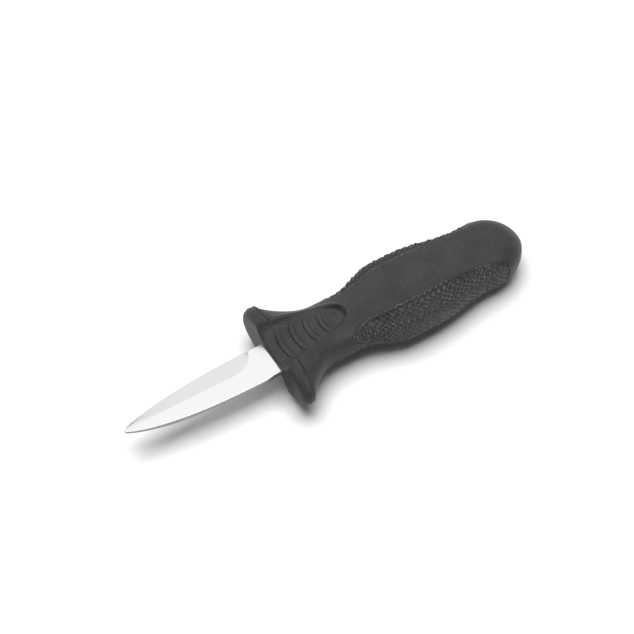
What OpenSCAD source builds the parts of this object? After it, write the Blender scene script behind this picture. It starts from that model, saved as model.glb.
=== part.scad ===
// Oyster knife: a short stiff blade in a moulded handle with a winged guard.
// X runs from the tip to the butt, Y across the blade, Z up through its thickness.
// The origin is the centre of the guard's flat front face.

/* [Blade] */
// Length from the guard face to the tip
blade_length = 60; // [45:1:80]
// Width where the cutting edge ends
blade_width = 15.2; // [12:0.2:20]
// Thickness of the steel
blade_thickness = 2; // [1.6:0.1:3]
// Width of the squared tip
tip_width = 1; // [0.8:0.1:3]
// Thickness of the tip
tip_thickness = 1; // [0.6:0.1:1.5]
// Length over which the blade thins towards the tip
tip_taper = 16; // [8:1:30]
// Thickness left along the cutting edge
edge_thickness = 0.4; // [0.2:0.05:0.8]
// Distance from the blade's middle to the inner line of the ground bevel
bevel_line = 0; // [-1:0.1:3]
// Length over which the bevel runs out towards the heel
bevel_runout = 10; // [4:0.5:16]
// Length of the unground heel in front of the guard
heel_length = 5.6; // [3:0.2:10]
// Width of the unground heel
heel_width = 13.9; // [11:0.1:16]
// Length of the heel's straight stretch in front of the guard
heel_straight = 2.4; // [2.1:0.1:2.8]
// Radius of the notch at the end of the cutting edge
notch_radius = 0.6; // [0.3:0.1:1]

/* [Tang] */
// Length of the tang behind the guard face
tang_length = 80; // [60:1:88]
// Width of the tang
tang_width = 10; // [7:0.5:12]
// Depth to which the full heel enters the guard
heel_seat = 4; // [2:0.5:8]
// Diameter of the holes that the core fills
tang_hole = 5; // [3:0.5:6]
// Distance from a hole's centre to the next one
tang_hole_pitch = 14; // [9:1:20]
// Distance from the core's front end to the first hole's centre, and from the last to the tang's end
tang_hole_margin = 7; // [5:0.5:10]

/* [Handle] */
// Length from the guard face to the end of the butt
handle_length = 105.5; // [104:0.5:125]
// Width of the guard across its wings
guard_width = 45.6; // [38:0.5:56]
// Height of the guard
guard_height = 20.4; // [17:0.2:24]
// Radius that rounds the rim of the guard's front face
guard_round = 3.5; // [1:0.1:4.5]
// Length over which the wings sweep back into the waist
guard_sweep = 18.5; // [12:0.5:24]
// Curvature of that sweep
guard_curve = 2; // [1.4:0.1:3]
// Width of the waist
waist_width = 22.2; // [20:0.2:28]
// Height of the waist
waist_height = 17.4; // [15:0.2:20]
// Distance of the waist from the guard face
waist_place = 30.5; // [26:0.5:34]
// Width of the swell that fills the palm
swell_width = 32.8; // [30:0.2:40]
// Height of the swell
swell_height = 22.6; // [22:0.2:30]
// Distance of the start of the full swell from the guard face
swell_place = 50.5; // [44:0.5:52]
// Length of the full swell
swell_length = 9; // [4:0.5:14]
// Width of the neck in front of the butt
neck_width = 25.6; // [24:0.2:30]
// Height of the neck
neck_height = 22.2; // [20:0.2:26]
// Distance of the neck from the guard face
neck_place = 86; // [78:1:86]
// Width of the butt
butt_width = 25.6; // [24:0.2:32]
// Height of the butt
butt_height = 21.6; // [20:0.2:27]
// Length of the rounded end of the butt
butt_round = 17; // [10:0.5:17]
// Squareness of the sections, where 2 is an ellipse
squareness = 2.5; // [2:0.1:3.5]

/* [Thumb scoop] */
// Length of the scoop from the guard face
scoop_length = 30.5; // [24:0.5:34]
// Width of the scoop at the guard face
scoop_width = 22; // [16:0.5:26]
// Height of the scoop's lip over the blade's face
scoop_lip = 1.6; // [1.5:0.1:3]
// Radius that rounds that lip
lip_round = 1.3; // [0.4:0.1:1.4]
// Length of the slope that the scoop's floor climbs behind the lip
scoop_slope = 20.4; // [14:0.2:23]
// Depth of the scoop at its rear end
scoop_rear = 1.3; // [0.4:0.1:1.6]
// Length over which the floor rises to the skin at that end
rear_run = 2.6; // [2:0.1:6]
// Steepness of the scoop's side walls
scoop_wall = 2.6; // [2:0.1:4]
// Blend between the scoop and the skin around it
scoop_blend = 0.8; // [0.2:0.1:1.5]
// Number of crescent ribs
ribs = 4; // [2:1:4]
// Distance from the rounded rim to the first rib
rib_start = 0.7; // [0.4:0.1:3]
// Distance from one rib to the next
rib_pitch = 5.3; // [4.6:0.1:6.5]
// Height of each rib's front step
rib_height = 0.5; // [0.2:0.05:0.8]
// Length over which a rib fades behind its step
rib_run = 3; // [2:0.1:4]
// Share of the scoop's width that a rib crosses
rib_reach = 0.72; // [0.5:0.02:0.9]
// Distance by which the ends of a rib trail its middle
rib_bow = 1.9; // [0:0.1:2.5]

/* [Grip panels] */
// Distance of the panels' front end from the guard face
grip_start = 27.2; // [24:0.2:34]
// Length of the panels
grip_length = 66; // [50:0.5:68]
// Share of the half width that a panel covers
grip_reach = 0.42; // [0.3:0.02:0.6]
// Depth of the pocket under a panel
grip_pocket = 1.6; // [1.2:0.1:2.2]
// Depth of a panel's face below the skin around it
grip_sink = 0.3; // [0:0.05:0.6]

/* [Inside] */
// Thickness of the skin over the core
skin = 3.6; // [2.6:0.1:5]
// Distance of the core's front end from the guard face
core_start = 36; // [35:0.5:40]
// Distance of the core's rear end from the guard face
core_end = 95; // [90:0.5:97]
// Gap left between pieces that are moulded round each other
fit = 0.04; // [0.02:0.01:0.1]

/* [Hidden] */
past = 1;
sliver = 0.001;
ring_points = 60;
core_points = 32;
core_steps = 14;
side_points = 24;
side_steps = 18;
nose_steps = 4;
trunk_steps = 18;
butt_steps = 7;
butt_turn = 88;
step_half = 0.15;
edge_shape = [1.9, 1.4];
spine_shape = [2.9, 1.2];
butt_shape = [2, 1.6];
scoop_shape = 0.62;
panel_shape = [3, 1.9];
outline_steps = 40;
hole_sides = 48;
blade_steps = 24;
bevel_steps = 22;
tip_crowding = 1.6;
bevel_over = 0.6;
least_bevel = 0.05;
first_rib = guard_round + rib_start;
tang_holes = 1 + floor((tang_length - core_start - 2 * tang_hole_margin) / tang_hole_pitch);
butt_place = handle_length - butt_round;
swell_end = swell_place + swell_length;
notch_place = -heel_length - notch_radius;
edge_run = blade_length + notch_place;
grip_end = grip_start + grip_length;
steel = "#d3d5d6";
moulding = "#3a3b3c";
grip_grey = "#343536";
core_grey = "#77797b";

function limit(v, low, high) = min(max(v, low), high);
function ease(t) = let (c = limit(t, 0, 1)) c * c * (3 - 2 * c);
function mix(a, b, t) = a + (b - a) * ease(t);
function bend(v, p) = sign(v) * pow(abs(v), p);
// The smaller of two heights, rounded where they meet
function blend_min(a, b, r) = let (h = max(r - abs(a - b), 0) / r) min(a, b) - h * h * r / 4;

// Depth by which a radius rounds off a corner, at x behind the guard face
function rounding(x, r) = let (lead = limit(r - x, 0, r)) r - sqrt(r * r - lead * lead);

// Half the handle's size at x, from its sizes at the guard, waist, swell, neck and butt
function half_size(x, guard, waist, swell, neck, butt) =
    let (
        trunk = x < swell_place ? mix(waist, swell, (x - waist_place) / (swell_place - waist_place))
            : x < neck_place ? mix(swell, neck, (x - swell_end) / (neck_place - swell_end))
            : mix(neck, butt, (x - neck_place) / (butt_place - neck_place)),
        wing = (guard - waist) * pow(limit(1 - (x - guard_round) / guard_sweep, 0, 1), guard_curve),
        close = pow(1 - pow(limit((x - butt_place) / butt_round, 0, 1), butt_shape[0]),
            1 / butt_shape[1])
    ) (trunk + wing) * close / 2 - rounding(x, guard_round);
function half_width(x) = half_size(x, guard_width, waist_width, swell_width, neck_width, butt_width);
function half_height(x) =
    half_size(x, guard_height, waist_height, swell_height, neck_height, butt_height);
function skin_height(x, y) =
    half_height(x) * pow(max(1 - pow(abs(y) / half_width(x), squareness), 0), 1 / squareness);

// The scoop's plan, floor and walls
function scoop_half(x) = scoop_width / 2 * pow(limit(1 - x / scoop_length, sliver, 1), scoop_shape);
function scoop_floor(x) =
    let (
        low = blade_thickness / 2 + scoop_lip,
        high = half_height(scoop_length) - scoop_rear,
        slope = low + (high - low) * x / scoop_slope,
        rear = limit((x - scoop_length) / rear_run + 1, 0, 1)
    ) blend_min(slope, high, scoop_blend) + scoop_rear * rear * rear - rounding(x, lip_round);
function scoop_height(x, y) =
    let (floor_z = scoop_floor(x), edge_z = skin_height(x, scoop_half(x)))
    floor_z + max(edge_z - floor_z, sliver) * pow(abs(y) / scoop_half(x), scoop_wall);

// A rib jumps up at its step and fades behind it and towards its ends
function rib_lift(x, y) =
    let (
        k = floor((x - first_rib) / rib_pitch),
        behind = x - first_rib - k * rib_pitch,
        fade = max(1 - pow(abs(y) / (scoop_half(x) * rib_reach), 4), 0)
    ) k < 0 || k >= ribs ? 0 : rib_height * fade * limit(1 - behind / rib_run, 0, 1);

function outer_point(x, a) =
    let (
        across = half_width(x) * bend(cos(a), 2 / squareness),
        bow = rib_bow * ease(x / first_rib) * ease((scoop_length - x) / rib_pitch),
        px = x + bow * min(pow(across / scoop_half(x), 2), 1),
        y = half_width(px) * bend(cos(a), 2 / squareness),
        z = half_height(px) * bend(sin(a), 2 / squareness),
        dished = blend_min(abs(z), scoop_height(px, y) + rib_lift(x, y), scoop_blend)
    ) [px, y, px < scoop_length ? sign(z) * min(abs(z), max(dished, 0)) : z];
function plain_point(x, a, inset) = [
    x,
    (half_width(x) - inset) * bend(cos(a), 2 / squareness),
    (half_height(x) - inset) * bend(sin(a), 2 / squareness)
];

// A closed skin through rings of equal point counts, with strips across both ends
module loft(rings) {
    n = len(rings[0]);
    last = len(rings) - 1;
    points = [for (ring = rings) for (p = ring) p];
    sides = [for (r = [0:last - 1]) for (i = [0:n - 1]) let (
        a = r * n + i, b = r * n + (i + 1) % n, c = b + n, d = a + n
    ) each [[a, c, b], [a, d, c]]];
    strips = [for (i = [0:n / 2 - 1]) [i, i + 1, n - i - 1, (n - i) % n]];
    front = [for (s = strips) for (t = [[s[0], s[1], s[2]], [s[0], s[2], s[3]]]) if (proper(t)) t];
    back = [for (t = front) [for (i = [2, 1, 0]) t[i] + last * n]];
    polyhedron(points, concat(sides, front, back));
}
function proper(t) = t[0] != t[1] && t[1] != t[2] && t[0] != t[2];

// Ring places: the rounded nose, the ribs, the plain trunk and the rounded butt
nose_places = [for (i = [0:nose_steps]) guard_round * (1 - cos(90 * i / nose_steps))];
rib_places = [for (k = [0:ribs - 1]) let (x = first_rib + k * rib_pitch)
    each [x - step_half, x + step_half, x + rib_run / 2, x + rib_run]];
trunk_from = first_rib + ribs * rib_pitch;
trunk_places = [for (i = [0:trunk_steps]) trunk_from + (butt_place - trunk_from) * i / trunk_steps];
butt_places = [for (i = [1:butt_steps]) butt_place + butt_round * sin(butt_turn * i / butt_steps)];
outer_places = concat(nose_places, rib_places, trunk_places, butt_places);

module outer_skin() {
    loft([for (x = outer_places) [for (i = [0:ring_points - 1])
        outer_point(x, 360 * i / ring_points)]]);
}

// The handle's plain shape between two places, drawn in by an inset
module plain_skin(from, to, inset) {
    loft([for (s = [0:core_steps]) [for (i = [0:core_points - 1])
        plain_point(from + (to - from) * s / core_steps, 360 * i / core_points, inset)]]);
}

// The half of that shape on one side of the handle
module side_skin(from, to, inset) {
    loft([for (s = [0:side_steps]) let (x = from + (to - from) * s / side_steps)
        concat([[x, -past, 0]],
            [for (i = [0:side_points]) plain_point(x, 180 * i / side_points - 90, inset)])]);
}

// Inner edge of a grip panel at x, seen from above
function grip_edge(x) =
    let (
        t = limit(abs(2 * (x - grip_start) / grip_length - 1), 0, 1),
        p = x < grip_start + grip_length / 2 ? panel_shape[0] : panel_shape[1]
    ) half_width(x) * (1 - grip_reach * pow(1 - pow(t, p), 1 / p));

// Plan of a grip panel, drawn in by a gap and run out past the handle's side
module grip_plan(gap) {
    from = grip_start + gap;
    to = grip_end - gap;
    beyond = swell_width / 2 + past;
    middle = (from + to) / 2;
    inner = [for (i = [0:outline_steps])
        let (x = middle - (to - from) / 2 * cos(180 * i / outline_steps)) [x, grip_edge(x) + gap]];
    polygon(concat(inner, [[to, beyond], [from, beyond]]));
}

module grip_block(gap) {
    linear_extrude(swell_height + 2 * past, center = true) grip_plan(gap);
}

module grip_pocket_cut() {
    difference() {
        grip_block(0);
        side_skin(grip_start - past, grip_end + past, grip_pocket);
    }
}

module grip_panel() {
    difference() {
        intersection() {
            grip_block(fit);
            side_skin(grip_start - past, grip_end + past, grip_sink);
        }
        side_skin(grip_start - past, grip_end + past, grip_pocket - fit);
    }
}

// Half width of the blade towards its edge or its spine, at a distance from the tip
function blade_half(run, shape) =
    tip_width / 2 + (blade_width - tip_width) / 2
        * pow(1 - pow(1 - limit(run / edge_run, 0, 1), shape[0]), 1 / shape[1]);
function edge_at(x) = blade_half(x + blade_length, edge_shape);
function spine_at(x) = -blade_half(x + blade_length, spine_shape);
function bevel_at(x) =
    let (t = limit(1 - (notch_place - x) / bevel_runout, 0, 1))
    edge_at(x) - (edge_at(x) - bevel_line) * sqrt(1 - t * t);

module blade_plan() {
    places = [for (i = [0:blade_steps]) notch_place - edge_run * pow(1 - i / blade_steps, tip_crowding)];
    edge = [for (x = places) [x, edge_at(x)]];
    spine = [for (i = [blade_steps:-1:0]) [places[i], spine_at(places[i])]];
    heel = [[-heel_length, heel_width / 2], [heel_seat, heel_width / 2], [heel_seat, tang_width / 2],
        [tang_length, tang_width / 2], [tang_length, -tang_width / 2], [heel_seat, -tang_width / 2],
        [heel_seat, -heel_width / 2], [-heel_straight, -heel_width / 2]];
    polygon(concat(edge, heel, spine));
}

// The wedge ground off one face, from the bevel's inner line out past the edge
module bevel_cut() {
    places = [for (i = [0:bevel_steps]) notch_place - (edge_run + past) * (1 - sin(90 * i / bevel_steps))];
    high = blade_thickness / 2 + bevel_over;
    loft([for (x = places) let (
        inner = min(bevel_at(x), edge_at(x) - least_bevel),
        outer = edge_at(x) + bevel_over,
        slope = (blade_thickness - edge_thickness) / 2 / (edge_at(x) - inner),
        low = blade_thickness / 2 - slope * (outer - inner)
    ) [[x, outer, low], [x, outer, high], [x, inner - bevel_over / slope, high]]]);
}

// The wedge that thins one face towards the tip
module tip_cut() {
    start = tip_taper - blade_length;
    fall = (blade_thickness - tip_thickness) / 2 / tip_taper;
    high = blade_thickness / 2;
    rotate([90, 0, 0]) linear_extrude(blade_width + 2 * past, center = true) polygon([
        [start, high], [start, high + past], [-blade_length - past, high + past],
        [-blade_length - past, tip_thickness / 2 - fall * past]
    ]);
}

// A row of round bars where the tang's holes are
module tang_bores(diameter, height) {
    for (k = [0:tang_holes - 1])
        translate([core_start + tang_hole_margin + k * tang_hole_pitch, 0, 0])
            cylinder(d = diameter, h = height, center = true, $fn = hole_sides);
}

module face_cuts() {
    bevel_cut();
    tip_cut();
}

module blade() {
    color(steel) difference() {
        linear_extrude(blade_thickness, center = true) blade_plan();
        face_cuts();
        mirror([0, 0, 1]) face_cuts();
        translate([notch_place, edge_at(notch_place), 0])
            cylinder(r = notch_radius, h = blade_thickness + 2 * past, center = true, $fn = hole_sides);
        tang_bores(tang_hole, blade_thickness + 2 * past);
    }
}

// Room for the heel and the tang, with the gap of a moulded fit all round
module tang_room() {
    slot = blade_thickness + 2 * fit;
    translate([-past, -heel_width / 2 - fit, -slot / 2])
        cube([past + heel_seat + fit, heel_width + 2 * fit, slot]);
    translate([0, -tang_width / 2 - fit, -slot / 2])
        cube([tang_length + fit, tang_width + 2 * fit, slot]);
}

module tang_core() {
    color(core_grey) union() {
        difference() {
            plain_skin(core_start, core_end, skin);
            tang_room();
        }
        tang_bores(tang_hole - 2 * fit, blade_thickness + past);
    }
}

module handle_body() {
    color(moulding) difference() {
        outer_skin();
        plain_skin(core_start - fit, core_end + fit, skin - fit);
        tang_room();
        grip_pocket_cut();
        mirror([0, 1, 0]) grip_pocket_cut();
    }
}

module grip_panel_left() {
    color(grip_grey) grip_panel();
}

module grip_panel_right() {
    color(grip_grey) mirror([0, 1, 0]) grip_panel();
}

blade();
tang_core();
handle_body();
grip_panel_left();
grip_panel_right();
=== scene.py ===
"""Looks of an oyster knife: a satin steel blade in a charcoal handle with a winged guard.

Lengths are in millimetres in every class here, and metres only in the meshes and the
stage. X runs from the tip to the butt, Y towards the cutting edge, Z up through the
blade's thickness, and the origin is the centre of the guard's front face.
"""

from __future__ import annotations

import logging
import math
from dataclasses import dataclass
from enum import Enum

import bpy
import numpy as np
from bpy.types import ID, Material, Node, NodeSocket, NodeTree, Object
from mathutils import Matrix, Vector

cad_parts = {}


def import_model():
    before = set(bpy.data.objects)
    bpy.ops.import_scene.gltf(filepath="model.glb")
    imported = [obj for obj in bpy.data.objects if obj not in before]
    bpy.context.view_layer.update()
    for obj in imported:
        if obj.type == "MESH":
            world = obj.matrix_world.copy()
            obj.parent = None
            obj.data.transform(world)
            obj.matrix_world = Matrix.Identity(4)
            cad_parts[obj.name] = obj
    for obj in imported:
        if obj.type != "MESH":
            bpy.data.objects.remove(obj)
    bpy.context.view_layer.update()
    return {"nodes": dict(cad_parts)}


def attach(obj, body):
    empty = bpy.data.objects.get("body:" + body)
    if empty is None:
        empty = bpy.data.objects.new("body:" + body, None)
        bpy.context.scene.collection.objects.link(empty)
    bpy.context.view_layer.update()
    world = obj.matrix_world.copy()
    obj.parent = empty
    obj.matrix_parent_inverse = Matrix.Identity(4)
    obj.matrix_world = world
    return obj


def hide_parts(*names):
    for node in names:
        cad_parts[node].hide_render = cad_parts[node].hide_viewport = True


Array = np.ndarray
Pair = tuple[float, float]
Triple = tuple[float, float, float]
MM = 0.001
PHOTO_SIDE = 634
SENSOR_MM = 36.0
BODY = "root"
# Range that holds most values of a noise texture
NOISE_RANGE = (0.3, 0.7)
# Length below which a vector has no direction
TINY = 1e-9
log = logging.getLogger("oyster_knife")


class Slot(Enum):
    """Names of material slots for the pieces; nothing here gives them to a piece."""

    BLADE = "blade_steel"
    HANDLE = "handle_plastic"
    GRIP = "grip_plastic"


class Side(Enum):
    """The side of the handle that a grip panel lies on, with its sign, piece and node."""

    EDGE = (1.0, "checkered_panel_edge_side", "grip_panel_left")
    SPINE = (-1.0, "checkered_panel_spine_side", "grip_panel_right")


def ease(t: Array) -> Array:
    """Smooth step: 3t² - 2t³, with t held between 0 and 1."""
    c = np.clip(t, 0.0, 1.0)
    return c * c * (3.0 - 2.0 * c)


def bend(v: Array, power: float | Array) -> Array:
    """Power that keeps the sign: sign(v) times |v| to the power."""
    return np.sign(v) * np.abs(v) ** power


def smaller(a: Array, b: Array, radius: float) -> Array:
    """The smaller of two heights, less a quarter of radius·h² where they are closer than the radius."""
    h = np.maximum(radius - np.abs(a - b), 0.0) / radius
    return np.minimum(a, b) - h * h * radius / 4.0


def rounding(x: Array, radius: float) -> Array:
    """Depth taken off at x behind a face by a quarter circle: r minus the root of r² - (r - x)²."""
    lead = np.clip(radius - x, 0.0, radius)
    return radius - np.sqrt(radius * radius - lead * lead)


def bell(v: Array, width: float) -> Array:
    """Bell curve: e to the power of -(v / width)²."""
    return np.exp(-((v / width) ** 2))


def unit(v: Array) -> Array:
    """Vectors divided by their lengths, so that each is 1 long."""
    return v / np.maximum(np.linalg.norm(v, axis=-1, keepdims=True), TINY)


def normals(grid: Array, closed: bool) -> Array:
    """Unit normals of a grid whose rows run up the +Y side, from central differences both ways.

    Args:
        grid: Points, with X, Y and Z on the last axis.
        closed: Whether each row closes on itself.

    Returns:
        The normals, which point outwards.
    """
    along = np.gradient(grid, axis=0)
    if closed:
        wrapped = np.concatenate([grid[:, -1:], grid, grid[:, :1]], 1)
        across = np.gradient(wrapped, axis=1)[:, 1:-1]
    else:
        across = np.gradient(grid, axis=1)
    return unit(np.cross(across, along))


def thinned(places: Array, gap: float) -> Array:
    """Sorts places and drops each that lies within the gap behind the one before it."""
    merged = np.unique(np.round(places, 4))
    return merged[np.concatenate([[True], np.diff(merged) > gap])]


def stations(*stretches: Triple) -> Array:
    """Places along X from stretches of (first, last, spacing), merged and thinned."""
    parts = [np.linspace(a, b, max(2, round((b - a) / step) + 1)) for a, b, step in stretches]
    return thinned(np.concatenate(parts), 0.01)


def link(name: str, data: ID) -> Object:
    """Makes an object of a mesh, camera or light and links it to the scene."""
    made = bpy.data.objects.new(name, data)
    bpy.context.scene.collection.objects.link(made)
    return made


class SurfaceMaker:
    """Turns grids of points into closed Blender meshes."""

    @staticmethod
    def quads(rings: int, around: int) -> Array:
        """Corner indices of the quads of a grid that closes on itself around.

        Args:
            rings: Number of rings.
            around: Points in each ring.

        Returns:
            An array of four indices a quad.
        """
        r = np.arange(rings - 1)[:, None] * around
        i = np.arange(around)[None, :]
        j = (i + 1) % around
        return np.stack([r + i, r + j, r + around + j, r + around + i], -1).reshape(-1, 4)

    @classmethod
    def closed(cls, name: str, grid: Array) -> Object:
        """One closed surface: a grid of rings whose two end rings meet in poles.

        Args:
            name: Name of the object and its mesh.
            grid: Points in millimetres, indexed by ring, place in the ring and axis.

        Returns:
            The object, in metres, linked to the scene.
        """
        rings, around = grid.shape[:2]
        back = (rings - 1) * around
        i = np.arange(around)
        j = np.roll(i, -1)
        pole = np.full_like(i, rings * around)
        caps = [np.stack([j, i, pole], -1), np.stack([i + back, j + back, pole + 1], -1)]
        faces = [cls.quads(rings, around), *caps]
        co = np.concatenate([grid.reshape(-1, 3), grid[0].mean(0)[None], grid[-1].mean(0)[None]]) * MM
        if cls.volume(co, faces) < 0:
            faces = [f[:, ::-1] for f in faces]
        sizes = np.concatenate([np.full(len(f), f.shape[1]) for f in faces])
        indices = np.concatenate([f.ravel() for f in faces])
        mesh = bpy.data.meshes.new(name)
        mesh.vertices.add(len(co))
        mesh.vertices.foreach_set("co", co.astype(np.float32).ravel())
        mesh.loops.add(len(indices))
        mesh.loops.foreach_set("vertex_index", indices.astype(np.int32))
        mesh.polygons.add(len(sizes))
        mesh.polygons.foreach_set("loop_start", (np.cumsum(sizes) - sizes).astype(np.int32))
        mesh.update(calc_edges=True)
        mesh.validate()
        mesh.shade_smooth()
        return link(name, mesh)

    @staticmethod
    def volume(co: Array, faces: list[Array]) -> float:
        """Signed volume: the sum of a·(b×c)/6 over fans of triangles.

        Args:
            co: Vertex positions.
            faces: Arrays of corner indices.

        Returns:
            The volume, below zero if the faces point inwards.
        """
        fans = [f[:, [0, k, k + 1]] for f in faces for k in range(1, f.shape[1] - 1)]
        a, b, c = np.moveaxis(co[np.concatenate(fans)], 1, 0)
        return float(np.einsum("ij,ij->", a, np.cross(b, c))) / 6.0


def linear(colour: str) -> tuple[float, float, float, float]:
    """Turns an sRGB hex colour to linear light.

    Args:
        colour: Six hex digits after a hash.

    Returns:
        Red, green, blue and an alpha of 1.
    """
    parts = [int(colour[i : i + 2], 16) / 255.0 for i in (1, 3, 5)]
    curve = [c / 12.92 if c <= 0.04045 else ((c + 0.055) / 1.055) ** 2.4 for c in parts]
    return (*curve, 1.0)


def add(tree: NodeTree, kind: str, settings: dict | None = None, **inputs) -> Node:
    """Adds one node with its settings, input values and links.

    Args:
        tree: The node tree.
        kind: Name of the node's type.
        settings: Attributes of the node itself.
        inputs: Values or sockets by input name, with underscores for spaces, or by in0, in1.

    Returns:
        The node.
    """
    node = tree.nodes.new(kind)
    for name, value in (settings or {}).items():
        setattr(node, name, value)
    for name, value in inputs.items():
        numbered = name.startswith("in") and name[2:].isdigit()
        socket = node.inputs[int(name[2:]) if numbered else name.replace("_", " ")]
        if isinstance(value, NodeSocket):
            tree.links.new(value, socket)
        else:
            socket.default_value = value
    return node


def blank_material(name: str) -> Material:
    """Makes a material whose node tree is empty.

    Args:
        name: The material's name.

    Returns:
        The material.
    """
    material = bpy.data.materials.new(name)
    material.use_nodes = True
    material.node_tree.nodes.clear()
    return material


def end_material(tree: NodeTree, noise: NodeSocket, roughness: float, swing: float, depth_mm: float,
                 **inputs) -> None:
    """Ends a material with its shader, whose roughness and height follow a noise.

    Args:
        tree: The node tree.
        noise: The noise, most of it within NOISE_RANGE.
        roughness: Roughness in the noise's middle.
        swing: How far the roughness goes up and down from there.
        depth_mm: Height of the bumps.
        inputs: The shader's other inputs.
    """
    low, high = NOISE_RANGE
    gloss = add(tree, "ShaderNodeMapRange", Value=noise, From_Min=low, From_Max=high,
                To_Min=roughness - swing, To_Max=roughness + swing)
    bump = add(tree, "ShaderNodeBump", Height=noise, Strength=1.0, Distance=depth_mm * MM)
    shader = add(tree, "ShaderNodeBsdfPrincipled", Roughness=gloss.outputs["Result"],
                 Normal=bump.outputs["Normal"], **inputs)
    add(tree, "ShaderNodeOutputMaterial", Surface=shader.outputs["BSDF"])


@dataclass(frozen=True)
class MouldedPolypropylene:
    """Polypropylene, injection moulded in a spark-eroded tool.

    The tool's grain breaks the sheen into a soft matte, and the pigment clouds slightly.
    The real grain is about 0.1 mm, too fine for the picture, so it is drawn at grain_mm.
    The two noises' sum passes from one colour to the other over mottle_range.
    """

    name: str = "moulded_polypropylene"
    colour: str = "#3b3b3a"
    cloud_colour: str = "#494948"
    roughness: float = 0.43
    roughness_swing: float = 0.05
    specular: float = 0.2
    ior: float = 1.49
    grain_mm: float = 0.9
    grain_detail: float = 2.0
    grain_depth_mm: float = 0.12
    cloud_mm: float = 9.0
    cloud_detail: float = 3.0
    mottle_range: Pair = (0.7, 1.3)

    def build(self) -> Material:
        """Makes the material with its grain and clouding.

        Returns:
            The material.
        """
        material = blank_material(self.name)
        tree = material.node_tree
        place = add(tree, "ShaderNodeTexCoord").outputs["Object"]
        cloud = add(tree, "ShaderNodeTexNoise", Vector=place, Scale=1 / (self.cloud_mm * MM),
                    Detail=self.cloud_detail)
        grain = add(tree, "ShaderNodeTexNoise", Vector=place, Scale=1 / (self.grain_mm * MM),
                    Detail=self.grain_detail)
        both = add(tree, "ShaderNodeMath", {"operation": "ADD"}, in0=cloud.outputs["Fac"],
                   in1=grain.outputs["Fac"])
        low, high = self.mottle_range
        mottle = add(tree, "ShaderNodeMapRange", Value=both.outputs[0], From_Min=low, From_Max=high)
        tint = add(tree, "ShaderNodeMix", {"data_type": "RGBA"}, in0=mottle.outputs["Result"],
                   in6=linear(self.colour), in7=linear(self.cloud_colour))
        end_material(tree, grain.outputs["Fac"], self.roughness, self.roughness_swing, self.grain_depth_mm,
                     Base_Color=tint.outputs["Result"], IOR=self.ior, Specular_IOR_Level=self.specular)
        return material


@dataclass(frozen=True)
class GroundSteel:
    """Stainless blade steel, ground on a fine belt, which leaves a satin of straight scratches.

    The scratches are about 0.05 mm apart, too fine for the picture, so they are drawn at
    scratch_mm. They stretch the sheen across their run.
    """

    name: str
    colour: str
    roughness: float
    roughness_swing: float = 0.02
    scratch_mm: float = 0.35
    scratch_length_mm: float = 12.0
    scratch_depth_mm: float = 0.0008
    scratch_detail: float = 3.0
    along: bool = True

    def build(self) -> Material:
        """Makes the material with its scratches along or across the blade.

        Returns:
            The material.
        """
        material = blank_material(self.name)
        tree = material.node_tree
        place = add(tree, "ShaderNodeTexCoord").outputs["Object"]
        fine, long = 1 / (self.scratch_mm * MM), 1 / (self.scratch_length_mm * MM)
        spread = (long, fine, fine) if self.along else (fine, long, fine)
        lines = add(tree, "ShaderNodeMapping", Vector=place, Scale=spread)
        scratch = add(tree, "ShaderNodeTexNoise", Vector=lines.outputs["Vector"], Scale=1.0,
                      Detail=self.scratch_detail)
        end_material(tree, scratch.outputs["Fac"], self.roughness, self.roughness_swing,
                     self.scratch_depth_mm, Base_Color=linear(self.colour), Metallic=1.0)
        return material


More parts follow.
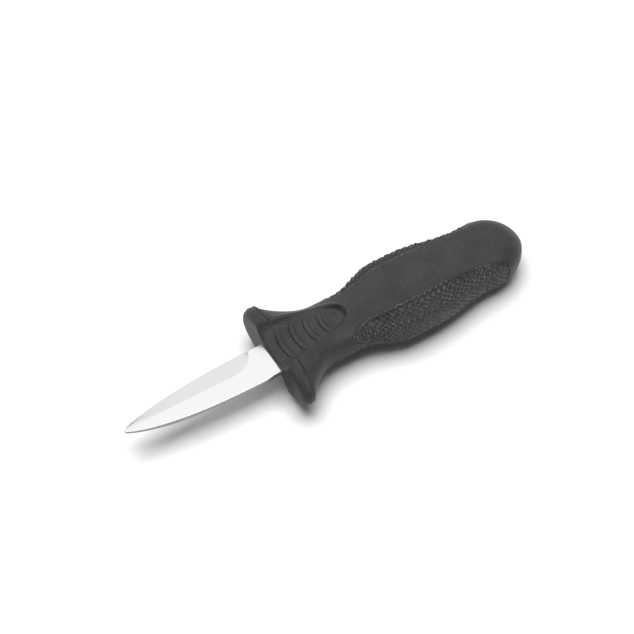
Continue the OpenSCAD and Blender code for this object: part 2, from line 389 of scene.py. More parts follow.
@dataclass
class Blade:
    """The blade: a tapered bar ground to an edge on one side, with its heel and tang."""

    length: float = 60.0
    width: float = 15.2
    thickness: float = 2.0
    tip_width: float = 1.0
    tip_thickness: float = 1.0
    tip_taper: float = 16.0
    edge_thickness: float = 0.4
    bevel_line: float = 0.0
    bevel_runout: float = 10.0
    heel_length: float = 5.6
    heel_width: float = 13.9
    heel_straight: float = 2.4
    heel_seat: float = 4.0
    tang_length: float = 80.0
    tang_width: float = 10.0
    notch_radius: float = 0.6
    edge_shape: Pair = (1.9, 1.4)
    spine_shape: Pair = (2.9, 1.2)
    corner: float = 0.12
    least_flat: float = 0.3
    least_bevel: float = 0.05
    corner_steps: int = 4
    flat_steps: int = 11
    bevel_steps: int = 13
    sharp_angle: float = 20.0

    @property
    def notch_place(self) -> float:
        """X of the notch's centre."""
        return -self.heel_length - self.notch_radius

    @property
    def edge_run(self) -> float:
        """Length of the cutting edge."""
        return self.length + self.notch_place

    def half(self, x: Array, shape: Pair) -> Array:
        """Half width: tip plus the rest times (1 - (1 - run)^p)^(1/q), with run from 0 to 1.

        Args:
            x: Places along the blade.
            shape: The exponents p and q.

        Returns:
            The half widths.
        """
        run = np.clip((x + self.length) / self.edge_run, 0.0, 1.0)
        rise = (1.0 - (1.0 - run) ** shape[0]) ** (1.0 / shape[1])
        return self.tip_width / 2 + (self.width - self.tip_width) / 2 * rise

    def edge(self, x: Array) -> Array:
        """Y of the cutting edge, with the notch's half circle, the heel and the tang behind it.

        Args:
            x: Places along the blade.

        Returns:
            The edge's Y at each place.
        """
        bite = np.sqrt(np.maximum(self.notch_radius**2 - (x - self.notch_place) ** 2, 0.0))
        line = np.where(x > self.notch_place, self.heel_width / 2, self.half(x, self.edge_shape))
        return np.where(x > self.heel_seat, self.tang_width / 2, line - bite)

    def spine(self, x: Array) -> Array:
        """Y of the spine, which draws in to the heel's width just in front of the guard.

        Args:
            x: Places along the blade.

        Returns:
            The spine's Y at each place.
        """
        lead = np.clip((x - self.notch_place) / (-self.heel_straight - self.notch_place), 0.0, 1.0)
        line = (self.width - self.heel_width) / 2 * lead - self.half(x, self.spine_shape)
        return np.where(x > self.heel_seat, -self.tang_width / 2, line)

    def bevel(self, x: Array) -> Array:
        """Y of the bevel's inner line, which runs out to the edge on a quarter ellipse.

        Args:
            x: Places along the blade.

        Returns:
            The line's Y at each place.
        """
        t = np.clip(1.0 - (self.notch_place - x) / self.bevel_runout, 0.0, 1.0)
        edge = self.half(x, self.edge_shape)
        return edge - (edge - self.bevel_line) * np.sqrt(1.0 - t * t)

    def face(self, x: Array) -> Array:
        """Half thickness, which falls to the tip's on a straight wedge."""
        run = np.clip((x + self.length) / self.tip_taper, 0.0, 1.0)
        return (self.tip_thickness + (self.thickness - self.tip_thickness) * run) / 2

    def places(self) -> Array:
        """Places of the loops along the blade, close together at the tip and round the notch."""
        tip, notch, seat = -self.length, self.notch_place, self.heel_seat
        return stations((tip, tip + 3.0, 0.1), (tip + 3.0, notch - 1.0, 0.5),
                        (notch - 1.0, notch + 1.0, 0.05), (notch + 1.0, seat, 0.3),
                        (seat + 0.02, self.tang_length, 2.0))

    def grid(self) -> Array:
        """The surface: at each x, a loop over one face and back under the other.

        A face is flat from the spine to the bevel's inner line and straight from there
        down to the edge. The spine's corners are rounded.

        Returns:
            The points.
        """
        x = self.places()[:, None]
        thick, full = self.face(x), self.thickness / 2
        spine, edge = self.spine(x), self.edge(x)
        ground = x < self.notch_place
        outermost = edge - self.least_bevel
        inner = np.where(ground, np.clip(self.bevel(x), spine + self.least_flat, outermost), outermost)
        rim = np.where(ground, self.edge_thickness / 2, thick)
        turn = np.linspace(0, math.pi / 2, self.corner_steps + 1)[None, :]
        c = self.corner
        corner_y = spine + c * (1 - np.sin(turn))
        corner_z = thick - c * (1 - np.cos(turn))
        flat = np.linspace(0, 1, self.flat_steps + 1)[None, 1:]
        flat_y = spine + c + (inner - spine - c) * flat
        slope = np.linspace(0, 1, self.bevel_steps + 1)[None, 1:]
        slope_y = inner + (edge - inner) * slope
        slope_z = np.minimum(thick, full + (rim - full) * slope)
        y = np.concatenate([corner_y[:, ::-1], flat_y, slope_y], 1)
        z = np.concatenate([corner_z[:, ::-1], np.broadcast_to(thick, flat_y.shape), slope_z], 1)
        y = np.concatenate([y, y[:, ::-1]], 1)
        z = np.concatenate([z, -z[:, ::-1]], 1)
        return np.stack([np.broadcast_to(x, y.shape), y, z], -1)

    def build(self, flat: Material, ground: Material, spine: Material) -> Object:
        """Makes the blade and gives its faces, bevels and spine their own finishes; the spine's is darkened
        partly as painted shade.

        Args:
            flat: Finish of the two faces.
            ground: Finish of the bevels.
            spine: Finish of the narrow sides, darker partly for its blanked finish and partly as painted
                shade.

        Returns:
            The blade.
        """
        made = SurfaceMaker.closed("blade_with_tang", self.grid())
        mesh = made.data
        for material in (flat, ground, spine):
            mesh.materials.append(material)
        centre = np.empty(len(mesh.polygons) * 3)
        normal = np.empty_like(centre)
        mesh.polygons.foreach_get("center", centre)
        mesh.polygons.foreach_get("normal", normal)
        centre, normal = centre.reshape(-1, 3) / MM, normal.reshape(-1, 3)
        x, y = centre[:, 0], centre[:, 1]
        kind = np.where((x < self.notch_place) & (y > self.bevel(x)), 1, 0)
        # Faces turned far from up take the sides' finish, whose darkness is partly painted shade
        kind = np.where(np.abs(normal[:, 2]) < 0.5, 2, kind)
        mesh.polygons.foreach_set("material_index", kind.astype(np.int32))
        mesh.set_sharp_from_angle(angle=math.radians(self.sharp_angle))
        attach(made, BODY)
        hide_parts("blade")
        return made


@dataclass
class HandleForm:
    """The moulded handle's form: sizes at the guard, waist, swell, neck and butt.

    The pairs of sizes and of bead heights are across and upwards. Most other pairs have
    the front value first.
    """

    # Trunk
    length: float = 105.5
    guard: Pair = (45.6, 20.4)
    waist: Pair = (22.2, 17.4)
    swell: Pair = (32.8, 22.6)
    neck: Pair = (25.6, 22.2)
    butt: Pair = (25.6, 21.6)
    squareness: float = 2.5
    waist_place: float = 30.5
    swell_place: float = 50.5
    swell_length: float = 9.0
    neck_place: float = 86.0
    butt_round: float = 17.0
    butt_shape: Pair = (2.2, 1.7)
    # Guard and its wings
    guard_square: float = 2.3
    square_place: float = 6.0
    square_run: float = 8.0
    guard_round: float = 3.5
    nose_length: float = 4.4
    nose_depth: float = 3.0
    crest_blend: float = 0.08
    bead_height: Pair = (0.3, 0.95)
    bead_places: Triple = (3.75, 4.55, 5.4)
    bead_width: float = 0.37
    bead_grooves: Pair = (0.12, 0.2)
    guard_sweep: float = 18.5
    guard_curve: float = 2.0
    guard_spread: float = 1.03
    # Scoops
    scoop_length: float = 30.5
    scoop_width: float = 22.0
    scoop_taper: float = 0.235
    scoop_lip: float = 2.6
    lip_round: float = 1.3
    scoop_slope: float = 20.4
    scoop_rear: float = 2.2
    rear_run: float = 2.0
    scoop_wall: Pair = (3.2, 6.0)
    scoop_blend: float = 0.9
    scoop_end: float = 12.0
    most_share: float = 0.9999
    least_wall: float = 1e-3
    rim_height: float = 0.5
    rim_width: float = 1.1
    rim_share: float = 0.5
    rim_run: float = 4.0
    rim_past: float = 1.0
    # Ribs in a scoop
    ribs: int = 4
    rib_start: float = 4.2
    rib_pitch: float = 5.3
    rib_height: float = 0.36
    rib_second: float = 0.22
    rib_top: float = 1.9
    rib_run: float = 2.0
    rib_step: float = 0.1
    rib_lead: float = 1.0
    rib_shelf: float = 0.4
    rib_end: float = 8.0
    rib_reach: float = 0.74
    rib_bow: float = 1.9
    groove_depth: Pair = (0.3, 0.15)
    groove_lead: Pair = (0.3, 0.28)
    groove_width: Pair = (0.22, 0.2)
    knob_height: float = 0.32
    knob_place: float = 1.0
    knob_size: Pair = (0.55, 0.5)  # along and across
    # Border of a grip panel
    grip_start: float = 27.2
    grip_length: float = 66.0
    grip_reach: float = 0.46
    panel_shape: Pair = (3.0, 1.9)
    arc_steps: int = 400

    @property
    def grip_end(self) -> float:
        """X of the panels' rear end."""
        return self.grip_start + self.grip_length

    @property
    def butt_place(self) -> float:
        """X at which the butt starts to close."""
        return self.length - self.butt_round

    def corner(self, x: Array) -> Array:
        """Exponent of the section at x, which passes from the guard's to the trunk's."""
        at_guard = 1.0 - ease((x - self.square_place) / self.square_run)
        return self.squareness + (self.guard_square - self.squareness) * at_guard

    def nose(self, x: Array) -> Array:
        """Depth of the rim in front of the wings, rounded by a quarter ellipse."""
        share = np.clip(1.0 - x / self.nose_length, 0.0, 1.0)
        return self.nose_depth * (1.0 - np.sqrt(1.0 - share**2))

    def bead(self, x: Array, height: float) -> Array:
        """Bead along the wings' crest between two shallow grooves, each a bell curve along X."""
        front, crest, rear = (bell(x - place, self.bead_width) for place in self.bead_places)
        return height * crest - self.bead_grooves[0] * front - self.bead_grooves[1] * rear

    def half(self, x: Array, axis: int) -> Array:
        """Half size at x: an eased run between the named sizes, plus the wings, less the roundings.

        Args:
            x: Places along the handle.
            axis: 0 for the width and 1 for the height.

        Returns:
            The half sizes.
        """
        guard, waist, swell, neck, butt = (
            s[axis] for s in (self.guard, self.waist, self.swell, self.neck, self.butt)
        )
        swell_end = self.swell_place + self.swell_length
        to_swell = waist + (swell - waist) * ease(
            (x - self.waist_place) / (self.swell_place - self.waist_place))
        to_neck = swell + (neck - swell) * ease((x - swell_end) / (self.neck_place - swell_end))
        to_butt = neck + (butt - neck) * ease((x - self.neck_place) / (self.butt_place - self.neck_place))
        trunk = np.where(x < self.swell_place, to_swell, np.where(x < self.neck_place, to_neck, to_butt))
        sweep = np.maximum(1.0 - (x - self.guard_round) / self.guard_sweep, 0.0) * self.guard_spread
        wing = (guard - waist) * sweep**self.guard_curve
        closing = np.clip((x - self.butt_place) / self.butt_round, 0.0, 1.0) ** self.butt_shape[0]
        close = (1.0 - closing) ** (1.0 / self.butt_shape[1])
        whole = (trunk + wing) * close / 2
        front = smaller(whole, guard / 2 - self.nose(x), self.crest_blend * (guard - waist))
        return np.where(x < self.waist_place, front, whole)

    def skin_height(self, x: Array, y: Array) -> Array:
        """Height of the plain skin over y: h times (1 - |y/w|^n)^(1/n)."""
        share = 1.0 - (np.abs(y) / self.half(x, 0)) ** self.corner(x)
        return self.half(x, 1) * np.maximum(share, 0.0) ** (1.0 / self.corner(x))

    def scoop_half(self, x: Array) -> Array:
        """Half width of the scoop: a straight taper times the root of 1 - (x/length)^end."""
        end = 1.0 - np.clip(x / self.scoop_length, 0.0, self.most_share) ** self.scoop_end
        return (self.scoop_width / 2 - self.scoop_taper * x) * np.sqrt(end)

    def scoop_floor(self, x: Array) -> Array:
        """Floor along the middle: a straight slope blended into a shelf, with a rise at the rear.

        Args:
            x: Places along the handle.

        Returns:
            The floor's height at each place.
        """
        shelf = self.half(np.full(1, self.scoop_length), 1) - self.scoop_rear
        slope = self.scoop_lip + (shelf - self.scoop_lip) * x / self.scoop_slope
        rear = np.clip((x - self.scoop_length) / self.rear_run + 1.0, 0.0, 1.0)
        level = smaller(slope, np.broadcast_to(shelf, slope.shape), self.scoop_blend)
        return level + self.scoop_rear * rear**2 - rounding(x, self.lip_round)

    def scoop_height(self, x: Array, y: Array) -> Array:
        """Floor plus a wall that climbs as |y / half width| to a power that grows to the rear.

        Args:
            x: Places along the handle.
            y: Places across it.

        Returns:
            The scoop's height at each point.
        """
        floor = self.scoop_floor(x)
        rim = self.skin_height(x, self.scoop_half(x))
        front, rear = self.scoop_wall
        wall = front + (rear - front) * np.clip(x / self.scoop_length, 0.0, 1.0)
        return floor + np.maximum(rim - floor, self.least_wall) * (np.abs(y) / self.scoop_half(x)) ** wall

    def rim_lift(self, x: Array, y: Array) -> Array:
        """Height of the soft ridge along the scoop's rim, a bell curve across it.

        Args:
            x: Places along the handle.
            y: Places across it.

        Returns:
            The lift at each point.
        """
        crest = self.scoop_half(x) + self.rim_share * self.rim_width
        front = ease((x - self.rib_start) / self.rim_run)
        rear = ease((self.scoop_length + self.rim_past - x) / self.rim_run)
        return self.rim_height * bell(np.abs(y) - crest, self.rim_width) * front * rear

    def rib_lift(self, x: Array, y: Array) -> Array:
        """Height of the ribs: a groove and a step up, a second lower pair, a shelf and a long fall.

        Args:
            x: Places along the unbowed handle.
            y: Places across it.

        Returns:
            The lift at each point, which ends in a small knob on either side.
        """
        count = np.clip(np.floor((x - self.rib_start + self.rib_lead) / self.rib_pitch), 0, self.ribs - 1)
        behind = x - self.rib_start - count * self.rib_pitch
        later = behind - self.rib_top
        first = self.rib_height * ease((behind + self.rib_step) / (2 * self.rib_step))
        second = self.rib_second * ease((later + self.rib_step) / (2 * self.rib_step))
        fall = 1.0 - ease((later - self.rib_shelf) / self.rib_run)
        grooves = sum(depth * bell(run + lead, width) for run, depth, lead, width in zip(
            (behind, later), self.groove_depth, self.groove_lead, self.groove_width))
        reach = self.scoop_half(x) * self.rib_reach
        ends = np.maximum(1.0 - (np.abs(y) / reach) ** self.rib_end, 0.0)
        long, wide = self.knob_size
        knob = self.knob_height * bell(behind - self.knob_place, long) * bell(np.abs(y) - reach, wide)
        return ends * ((first + second) * fall - grooves) + knob

    def section(self, x: Array, turn: Array, bead: Pair = (0.0, 0.0)) -> tuple[Array, Array]:
        """Section at x: w·cos^(2/n) and h·sin^(2/n) of the turn.

        Args:
            x: Places along the handle.
            turn: Angles around it, from the +Y side upwards.
            bead: Height of the crest's bead across and upwards, 0 for a plain section.

        Returns:
            Y and Z of each point.
        """
        power = 2.0 / self.corner(x)
        wide, high = (self.half(x, k) + (self.bead(x, bead[k]) if bead[k] else 0.0) for k in (0, 1))
        return wide * bend(np.cos(turn), power), high * bend(np.sin(turn), power)

    def skin(self, x: Array, turn: Array) -> Array:
        """Outer surface with its two scoops, on rings bowed back towards the scoops' sides.

        Args:
            x: Places along the unbowed handle.
            turn: Angles around it.

        Returns:
            The points.
        """
        across = self.section(x, turn)[0]
        bow = self.rib_bow * ease(x / self.rib_start) * ease((self.scoop_length - x) / self.rib_pitch)
        place = x + bow * np.minimum((across / self.scoop_half(x)) ** 2, 1.0)
        y, z = self.section(place, turn, self.bead_height)
        z = z + np.sign(z) * self.rim_lift(place, y)
        dish = self.scoop_height(place, y) + self.rib_lift(x, y)
        dished = np.maximum(smaller(np.abs(z), dish, self.scoop_blend), 0.0)
        z = np.where(place < self.scoop_length, np.sign(z) * np.minimum(np.abs(z), dished), z)
        return np.stack([place, y, z], -1)

    def panel_turn(self, x: Array) -> Array:
        """Angle at which a panel's border lies at x, 0 at the panel's two ends and past them.

        Args:
            x: Places along the handle.

        Returns:
            The angle at which the section is 1 - reach·(1 - t^p)^(1/p) of its half width, with t
            from 0 in the panel's middle to 1 at its ends.
        """
        t = np.clip(np.abs(2.0 * (x - self.grip_start) / self.grip_length - 1.0), 0.0, 1.0)
        front = x < self.grip_start + self.grip_length / 2
        p = np.where(front, *self.panel_shape)
        share = 1.0 - self.grip_reach * (1.0 - t**p) ** (1.0 / p)
        return np.arccos(np.clip(share ** (self.squareness / 2.0), 0.0, 1.0))

    def arcs(self, x: Array, turn: Array) -> Array:
        """Length of the section's curve from the +Y or -Y side to each angle up to a right angle.

        Args:
            x: Places along the handle, one a row.
            turn: Angles from 0 to a right angle for each place.

        Returns:
            The lengths, summed along arc_steps short chords.
        """
        fine = np.linspace(0.0, math.pi / 2, self.arc_steps + 1)[None, :]
        y, z = self.section(x, fine)
        run = np.concatenate([np.zeros_like(x), np.cumsum(np.hypot(np.diff(y), np.diff(z)), 1)], 1)
        at = np.clip(turn / (math.pi / 2) * self.arc_steps, 0, self.arc_steps - TINY)
        low = at.astype(int)
        a = np.take_along_axis(run, low, 1)
        b = np.take_along_axis(run, low + 1, 1)
        return a + (b - a) * (at - low)

    def inside_panel(self, x: Array, turn: Array) -> Array:
        """Distance of each point inside a panel's border, below 0 outside it.

        The distance along the section is divided by the root of 1 + slope², where slope is
        how fast the border closes in along X.

        Args:
            x: Places along the handle, one a row.
            turn: Angles around it.

        Returns:
            The distances.
        """
        border = self.arcs(x, self.panel_turn(x))
        slope = np.gradient(border[:, 0], x[:, 0])[:, None]
        side = np.arcsin(np.abs(np.sin(turn)))
        return (border - self.arcs(x, side)) / np.sqrt(1.0 + slope**2)


@dataclass
class Handle:
    """The moulding: the outer skin with scoops, ribs and pockets, and the slot for the blade."""

    form: HandleForm
    blade: Blade
    pocket: float = 1.75
    pocket_from: float = 0.1
    pocket_to: float = 0.6
    fit: float = 0.04
    slot_square: float = 0.2
    slot_rings: Pair = (1.0, 0.1)
    face_rings: int = 11
    nose_rings: int = 16
    nose_end: float = 1.4
    butt_rings: int = 46
    butt_span: Pair = (0.02, 0.995)
    step_span: Pair = (-0.6, 0.2)
    top_span: Pair = (-0.5, 0.2)
    scoop_past: float = 2.0
    spacing: tuple[float, float, float, float] = (0.07, 0.08, 0.3, 0.6)
    ring_gap: float = 0.015
    around: int = 260
    sharp_angle: float = 50.0

    def places(self) -> Array:
        """Ring places: dense on the nose and at each rib's steps, even elsewhere.

        Returns:
            The places, from the nose to the butt.
        """
        form = self.form
        at_rib, at_nose, in_scoop, on_trunk = self.spacing
        nose = form.guard_round * (1 - np.cos(np.linspace(0, math.pi / 2, self.nose_rings)))
        ribs = form.rib_start + form.rib_pitch * np.arange(form.ribs)
        steps = [(r + self.step_span[0], r + self.step_span[1], at_rib) for r in ribs]
        tops = [(r + self.top_span[0], r + self.top_span[1], at_rib) for r in ribs + form.rib_top]
        behind = form.scoop_length + self.scoop_past
        trunk = stations((self.nose_end, form.guard_round, at_nose), (form.guard_round, behind, in_scoop),
                         (behind, form.butt_place, on_trunk), *steps, *tops)
        share = np.linspace(*self.butt_span, self.butt_rings)
        close = form.butt_place + form.butt_round * np.sin(share * math.pi / 2)
        return thinned(np.concatenate([nose, trunk, close]), self.ring_gap)

    def grid(self) -> Array:
        """Rings from the slot's bottom, out over the front face and along the skin to the butt.

        Returns:
            The points.
        """
        form = self.form
        x = self.places()[:, None]
        turn = np.linspace(0, 2 * math.pi, self.around, endpoint=False)[None, :]
        skin = form.skin(x, turn)
        depth = form.inside_panel(x, np.broadcast_to(turn, skin.shape[:2]))
        inside = (x > form.grip_start) & (x < form.grip_end)
        sink = self.pocket * ease((depth - self.pocket_from) / (self.pocket_to - self.pocket_from))
        skin = skin - normals(skin, closed=True) * np.where(inside, sink, 0.0)[..., None]
        return np.concatenate([self.front(skin[0], turn[0]), skin])

    def front(self, rim: Array, turn: Array) -> Array:
        """Slot and front face: the slot's outline at three depths, then rings out to the rim.

        Args:
            rim: Points of the first ring of the skin.
            turn: Angles of those points.

        Returns:
            The rings in front of it.
        """
        y = (self.blade.heel_width / 2 + self.fit) * bend(np.cos(turn), self.slot_square)
        z = (self.blade.thickness / 2 + self.fit) * bend(np.sin(turn), self.slot_square)
        slot = np.stack([np.zeros_like(y), y, z], -1)
        deep = [slot + np.array([d, 0.0, 0.0]) for d in (self.blade.heel_seat, *self.slot_rings)]
        share = np.linspace(0, 1, self.face_rings, endpoint=False)[:, None, None]
        face = slot[None] + (rim - slot)[None] * share
        return np.concatenate([np.stack(deep), face])

    def build(self, finish: Material) -> Object:
        """Makes the moulding.

        Args:
            finish: Its material.

        Returns:
            The moulding.
        """
        made = SurfaceMaker.closed("handle_moulding", self.grid())
        made.data.materials.append(finish)
        made.data.set_sharp_from_angle(angle=math.radians(self.sharp_angle))
        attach(made, BODY)
        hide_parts("handle_body")
        return made


@dataclass
class GripPanel:
    """A grip panel: staggered studs over a long hollow, inside a fine raised border."""

    form: HandleForm
    side: Side
    stud_mm: float = 1.75
    stud_height: float = 0.64
    stud_power: float = 1.7
    stud_variety: float = 0.6
    stud_pick: Triple = (12.9898, 78.233, 43758.5453)
    face_sink: float = 0.35
    face_onset: Pair = (1.0, 3.0)
    hollow_depth: float = 1.3
    hollow_place: float = 0.76
    hollow_width: float = 0.24
    hollow_onset: float = 2.0
    hollow_front: Pair = (2.0, 10.0)
    hollow_rear: Pair = (4.0, 14.0)
    border_height: float = 0.16
    border_place: float = 0.4
    border_width: float = 0.28
    border_flat: float = 0.8
    border_gap: Pair = (33.0, 66.0)
    border_fade: Pair = (4.0, 8.0)
    gutter_depth: float = 0.18
    gutter_walls: Pair = (0.4, 0.3)
    thickness: float = 1.7
    rim_thickness: float = 0.25
    rim_run: float = 0.5
    edge_ring: float = 0.997
    edge_tuck: float = 0.12
    tuck_run: float = 0.6
    end_gap: float = 0.01
    end_crowding: float = 0.25
    across: int = 140
    spacing: float = 0.195

    def studs(self, along: Array, over: Array) -> Array:
        """Field of studs on a slanted square grid, each (1 - |u|^p)·(1 - |v|^p) over its cell.

        The tool is worn unevenly, so each stud's height is lowered by a share of variety:
        the fraction left of a large multiple of a sine of its row and column.

        Args:
            along: Places along the handle.
            over: Places around it, along the section's curve.

        Returns:
            The relief's height.
        """
        side = math.sqrt(2.0) * self.stud_mm
        s, t = (along + over) / side, (along - over) / side
        i, j = np.floor(s), np.floor(t)
        row, column, multiple = self.stud_pick
        pick = np.modf(np.abs(np.sin(i * row + j * column)) * multiple)[0]
        u, v = (1.0 - np.abs(2.0 * part - 1.0) ** self.stud_power for part in (s - i, t - j))
        return self.stud_height * (1.0 - self.stud_variety * pick) * u * v

    def relief(self, x: Array, share: Array, turn: Array, depth: Array) -> Array:
        """Height of the face over the plain skin: border, gutter and studs, less hollow and tuck.

        Border and hollow are bell curves, over the depth and over the share. Border and
        gutter fade out over the middle of the panel's length.

        Args:
            x: Places along the handle, one a row.
            share: Share of the border's angle at each point of a row, -1 to 1.
            turn: Angles around the handle.
            depth: Distance of each point inside the panel's edge.

        Returns:
            The height at each point.
        """
        form = self.form
        gap, fade = self.border_gap, self.border_fade
        edged = 1.0 - ease((x - gap[0]) / fade[0]) * (1 - ease((x - gap[1]) / fade[1]))
        border = self.border_height * bell(depth - self.border_place, self.border_width)
        fall, rise = self.gutter_walls
        gutter = ease((depth - self.border_place) / fall) * (1 - ease((depth - self.border_flat) / rise))
        near, far = self.face_onset
        studded = ease((depth - self.border_flat * edged) / near) * (1 + ease(depth / far)) / 2
        over = np.sign(turn) * form.arcs(x, np.abs(turn))
        face = (self.studs(np.broadcast_to(x, turn.shape), over) - self.face_sink) * studded
        front = ease((x - form.grip_start - self.hollow_front[0]) / self.hollow_front[1])
        rear = ease((form.grip_end - self.hollow_rear[0] - x) / self.hollow_rear[1])
        hollow = bell(np.abs(share) - self.hollow_place, self.hollow_width) * ease(depth / self.hollow_onset)
        sunk = self.hollow_depth * hollow * front * rear + self.edge_tuck * (1 - ease(depth / self.tuck_run))
        return edged * (border - self.gutter_depth * gutter) + face - sunk

    def grid(self) -> Array:
        """Rings along the panel: out along its face from border to border, and back underneath.

        Returns:
            The points.
        """
        form = self.form
        along = np.linspace(-1, 1, round(form.grip_length / self.spacing))
        crowded = self.end_crowding * np.sin(along * math.pi / 2) + (1 - self.end_crowding) * along
        reach = form.grip_length / 2 - self.end_gap
        x = ((form.grip_start + form.grip_end) / 2 + reach * crowded)[:, None]
        between = np.linspace(-self.edge_ring, self.edge_ring, self.across - 2)
        share = np.concatenate([[-1.0], between, [1.0]])[None, :]
        turn = share * form.panel_turn(x)
        y, z = form.section(x, turn)
        face = np.stack([np.broadcast_to(x, y.shape), y, z], -1)
        outward = normals(face, closed=False)
        depth = np.maximum(form.inside_panel(x, turn), 0.0)
        outer = face + outward * self.relief(x, share, turn, depth)[..., None]
        full = np.minimum(1.0, depth / self.rim_run)[..., None]
        inner = face - outward * self.thickness * (self.rim_thickness + (1 - self.rim_thickness) * full)
        return np.concatenate([outer, inner[:, ::-1]], 1)

    def build(self, finish: Material) -> Object:
        """Makes the panel on its own side of the handle.

        Args:
            finish: Its material.

        Returns:
            The panel.
        """
        sign, name, node = self.side.value
        made = SurfaceMaker.closed(name, self.grid() * np.array([1.0, sign, 1.0]))
        made.data.materials.append(finish)
        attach(made, BODY)
        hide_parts(node)
        return made


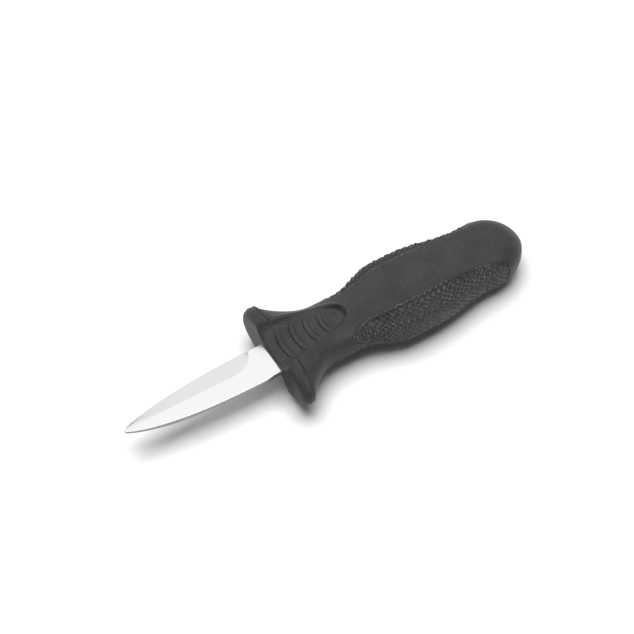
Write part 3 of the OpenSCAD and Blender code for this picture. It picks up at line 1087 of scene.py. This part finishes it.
@dataclass
class Studio:
    """The pale floor, the white surround, one soft light and the camera at the photo's angle.

    Seen from the side, the floor runs through two points (X, Z): it touches the swell and
    the butt and passes about 2 mm under the guard. These and the look-at point are in
    millimetres, the light's and the floor's sizes in metres.
    """

    azimuth: float = 31.53
    elevation: float = 53.5
    distance_mm: float = 1000.0
    look_at: Triple = (20.0, 0.0, 0.0)
    focal_px: float = 2790.0
    offset_px: Pair = (2.86, 18.6)
    clip_range: Pair = (0.01, 50.0)
    floor_front: Pair = (3.5, -12.45)
    floor_rear: Pair = (59.0, -11.35)
    key_from: Triple = (0.0, 0.12, 0.99)
    key_level: float = 0.9
    key_distance: float = 2.4
    key_size: float = 2.05
    key_over: Triple = (0.03, 0.0, 0.0)
    ambient: float = 0.09
    side_level: float = 0.14
    side_range: Pair = (0.1, 0.75)
    sheen_from: Triple = (0.12, -0.82, 0.56)
    sheen_level: float = 4.0
    sheen_range: Pair = (0.88, 0.985)
    floor_side: float = 6.0
    floor_white: float = 1.17
    floor_bounce: float = 0.65

    def camera(self) -> None:
        """Makes the camera: turned about the look-at point and shifted by the picture's offset."""
        a, e = math.radians(self.azimuth), math.radians(self.elevation)
        back = Vector((-math.sin(a) * math.cos(e), -math.cos(a) * math.cos(e), math.sin(e)))
        data = bpy.data.cameras.new("photo_camera")
        data.sensor_width = SENSOR_MM
        data.lens = self.focal_px / PHOTO_SIDE * SENSOR_MM
        data.shift_x = -self.offset_px[0] / PHOTO_SIDE
        data.shift_y = self.offset_px[1] / PHOTO_SIDE
        data.clip_start, data.clip_end = self.clip_range
        made = link("photo_camera", data)
        made.location = (Vector(self.look_at) + back * self.distance_mm) * MM
        made.rotation_mode = "QUATERNION"
        made.rotation_quaternion = back.to_track_quat("Z", "Y")
        bpy.context.scene.camera = made

    def floor(self) -> None:
        """Makes the floor: white to the rays that show it, and a darker grey to all others."""
        (x0, z0), (x1, z1) = self.floor_front, self.floor_rear
        slope = (z1 - z0) / (x1 - x0)
        half = self.floor_side / 2
        square = [(-half, -half), (half, -half), (half, half), (-half, half)]
        points = [(x, y, (z0 - slope * x0) * MM + slope * x) for x, y in square]
        mesh = bpy.data.meshes.new("pale_floor")
        mesh.from_pydata(points, [], [(0, 1, 2, 3)])
        made = link("pale_floor", mesh)
        material = blank_material("pale_floor")
        tree = material.node_tree
        seen = add(tree, "ShaderNodeBsdfDiffuse", Color=(*[self.floor_white] * 3, 1.0))
        bounce = add(tree, "ShaderNodeBsdfDiffuse", Color=(*[self.floor_bounce] * 3, 1.0))
        mix = add(tree, "ShaderNodeMixShader", in0=self.shown(tree), in1=bounce.outputs[0],
                  in2=seen.outputs[0])
        add(tree, "ShaderNodeOutputMaterial", Surface=mix.outputs[0])
        mesh.materials.append(material)

    @staticmethod
    def shown(tree: NodeTree) -> NodeSocket:
        """1 for the rays that show a surface: the camera's, and those through gloss or glass.

        Args:
            tree: The node tree.

        Returns:
            The socket of that 1, or of 0.
        """
        path = add(tree, "ShaderNodeLightPath")
        seen = add(tree, "ShaderNodeMath", {"operation": "MAXIMUM"}, in0=path.outputs["Is Camera Ray"],
                   in1=path.outputs["Is Glossy Ray"])
        return add(tree, "ShaderNodeMath", {"operation": "MAXIMUM"}, in0=seen.outputs[0],
                   in1=path.outputs["Is Transmission Ray"]).outputs[0]

    @staticmethod
    def glow(tree: NodeTree, way: Triple, span: Pair, levels: Pair) -> NodeSocket:
        """Level of the surround that changes smoothly towards a direction.

        Args:
            tree: The world's node tree.
            way: The direction.
            span: Cosines of the angle to it between which the level changes.
            levels: Level away from it and level in it.

        Returns:
            The level's socket.
        """
        ray = add(tree, "ShaderNodeTexCoord").outputs["Generated"]
        facing = add(tree, "ShaderNodeVectorMath", {"operation": "DOT_PRODUCT"}, in0=ray,
                     in1=Vector(way).normalized())
        return add(tree, "ShaderNodeMapRange", {"interpolation_type": "SMOOTHSTEP"},
                   Value=facing.outputs["Value"], From_Min=span[0], From_Max=span[1],
                   To_Min=levels[0], To_Max=levels[1]).outputs["Result"]

    def world(self) -> None:
        """Sets the surround: white to the camera, with darker sides and one bright patch to gloss."""
        world = bpy.data.worlds.new("white_studio")
        bpy.context.scene.world = world
        world.use_nodes = True
        tree = world.node_tree
        tree.nodes.clear()
        sides = self.glow(tree, self.key_from, self.side_range, (self.side_level, 1.0))
        sheen = self.glow(tree, self.sheen_from, self.sheen_range, (0.0, self.sheen_level))
        both = add(tree, "ShaderNodeMath", {"operation": "ADD"}, in0=sides, in1=sheen)
        camera = add(tree, "ShaderNodeLightPath").outputs["Is Camera Ray"]
        seen = add(tree, "ShaderNodeMath", {"operation": "MAXIMUM"}, in0=camera, in1=both.outputs[0])
        level = add(tree, "ShaderNodeMix", {"data_type": "FLOAT"}, in0=self.shown(tree),
                    in2=self.ambient, in3=seen.outputs[0])
        light = add(tree, "ShaderNodeBackground", Color=(1.0, 1.0, 1.0, 1.0),
                    Strength=level.outputs["Result"])
        add(tree, "ShaderNodeOutputWorld", Surface=light.outputs[0])

    def key(self) -> None:
        """Makes the key light: one soft square above, as strong as its share of the sky asks.

        That share, for a square of half side h over a point at distance 1, is 4/π times
        a·atan(a), with a = h over the root of 1 + h².
        """
        away = Vector(self.key_from).normalized()
        data = bpy.data.lights.new("key_softbox", "AREA")
        half = self.key_size / 2 / self.key_distance
        side = half / math.sqrt(1.0 + half * half)
        seen = 4.0 / math.pi * side * math.atan(side) * away.z
        data.energy = self.key_level * math.pi * self.key_size**2 / seen
        data.size = self.key_size
        made = link("key_softbox", data)
        made.visible_glossy = False
        made.location = Vector(self.key_over) + away * self.key_distance
        made.rotation_mode = "QUATERNION"
        made.rotation_quaternion = away.to_track_quat("Z", "Y")

    def build(self) -> None:
        """Makes the whole stage and sets how the picture is shown."""
        self.camera()
        self.floor()
        self.world()
        self.key()
        bpy.context.scene.view_settings.view_transform = "Standard"


def main() -> None:
    """Loads the frame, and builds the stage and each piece."""
    logging.basicConfig(level=logging.INFO, format="%(name)s: %(message)s")
    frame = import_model()
    Studio().build()
    plastic = MouldedPolypropylene().build()
    checkered = MouldedPolypropylene(name="checkered_grip", colour="#2b2b2a", cloud_colour="#313130",
                                     roughness=0.24, specular=0.42).build()
    core = MouldedPolypropylene(name="core_polypropylene", colour="#77797b", cloud_colour="#7d7f81").build()
    flat = GroundSteel(name="satin_steel_faces", colour="#f8f8f7", roughness=0.26).build()
    ground = GroundSteel(name="ground_steel_bevel", colour="#ececeb", roughness=0.3, along=False).build()
    # Narrow sides: darker than the faces, partly for their rougher blanked finish and partly as painted
    # shade that stands in for the shadowed floor they reflect
    spine = GroundSteel(name="blanked_steel_sides", colour="#949492", roughness=0.4).build()
    blade, form = Blade(), HandleForm()
    made = [
        blade.build(flat, ground, spine),
        Handle(form, blade).build(plastic),
        GripPanel(form, Side.EDGE).build(checkered),
        GripPanel(form, Side.SPINE).build(checkered),
    ]
    hidden = frame["nodes"]["tang_core"]
    hidden.data.materials.clear()
    hidden.data.materials.append(core)
    for piece in made:
        log.info("%s: %d faces", piece.name, len(piece.data.polygons))


if __name__ == "__main__":
    main()
